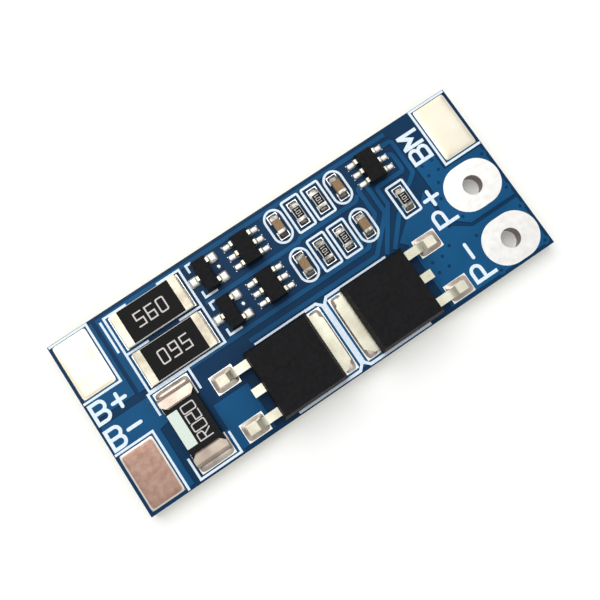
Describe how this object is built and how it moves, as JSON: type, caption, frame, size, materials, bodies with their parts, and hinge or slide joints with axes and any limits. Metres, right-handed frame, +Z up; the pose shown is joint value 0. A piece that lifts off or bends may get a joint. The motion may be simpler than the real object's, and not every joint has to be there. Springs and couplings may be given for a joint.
{
  "type": "battery management board",
  "caption": "Flat blue circuit board that protects and balances two lithium cells in series, with bare solder pads, power transistors, a shunt and chip parts.",
  "frame": {"origin": "centre of the underside of the board", "axes": "+X along the board towards the two load pads, +Y across it towards the chip rows, +Z up out of the component side"},
  "size_m": [0.04, 0.0162, 0.0039],
  "materials": {
    "laminate": "sawn glass-epoxy",
    "resist": "blue solder resist, glossy",
    "copper": "copper under the resist",
    "ink": "white printed ink",
    "tin": "tinned, slightly uneven",
    "solder": "reflowed solder",
    "lead_metal": "tin-plated lead frame",
    "mould": "black moulding compound",
    "shunt_coat": "black coated element",
    "alumina": "white alumina",
    "resistor_coat": "black glass coat",
    "capacitor_ceramic": "tan fired ceramic"
  },
  "bodies": {
    "root": {"substrate": "laminate", "vias": "copper", "copper_runs": "copper", "resist_top": "resist", "resist_bottom": "resist", "legend": "ink", "pad_b_plus": "tin", "pad_b_minus": "tin", "pad_b_middle": "tin", "pad_p_plus": "tin", "pad_p_minus": "tin", "power_lands": "tin", "signal_lands": "tin", "q1_body": "mould", "q1_drain_tab": "lead_metal", "q1_gate_lead": "lead_metal", "q1_source_lead": "lead_metal", "q2_body": "mould", "q2_drain_tab": "lead_metal", "q2_gate_lead": "lead_metal", "q2_source_lead": "lead_metal", "shunt_element": "shunt_coat", "shunt_terminal_upper": "lead_metal", "shunt_terminal_lower": "lead_metal", "balance_1_ceramic": "alumina", "balance_1_coat": "resistor_coat", "balance_1_ends": "tin", "balance_2_ceramic": "alumina", "balance_2_coat": "resistor_coat", "balance_2_ends": "tin", "q3_body": "mould", "q3_leads": "lead_metal", "q4_body": "mould", "q4_leads": "lead_metal", "u1_body": "mould", "u1_leads": "lead_metal", "u2_body": "mould", "u2_leads": "lead_metal", "u3_body": "mould", "u3_leads": "lead_metal", "c1_ceramic": "capacitor_ceramic", "c2_ceramic": "capacitor_ceramic", "c3_ceramic": "capacitor_ceramic", "c4_ceramic": "capacitor_ceramic", "capacitor_ends": "tin", "r1_ceramic": "alumina", "r2_ceramic": "alumina", "r3_ceramic": "alumina", "r4_ceramic": "alumina", "r5_ceramic": "alumina", "resistor_coats": "resistor_coat", "resistor_ends": "tin", "solder_drain_tabs": "solder", "solder_power_leads": "solder", "solder_shunt": "solder", "solder_balance": "solder", "solder_chips": "solder", "solder_capacitors": "solder", "solder_resistors": "solder"}
  },
  "joints": []
}
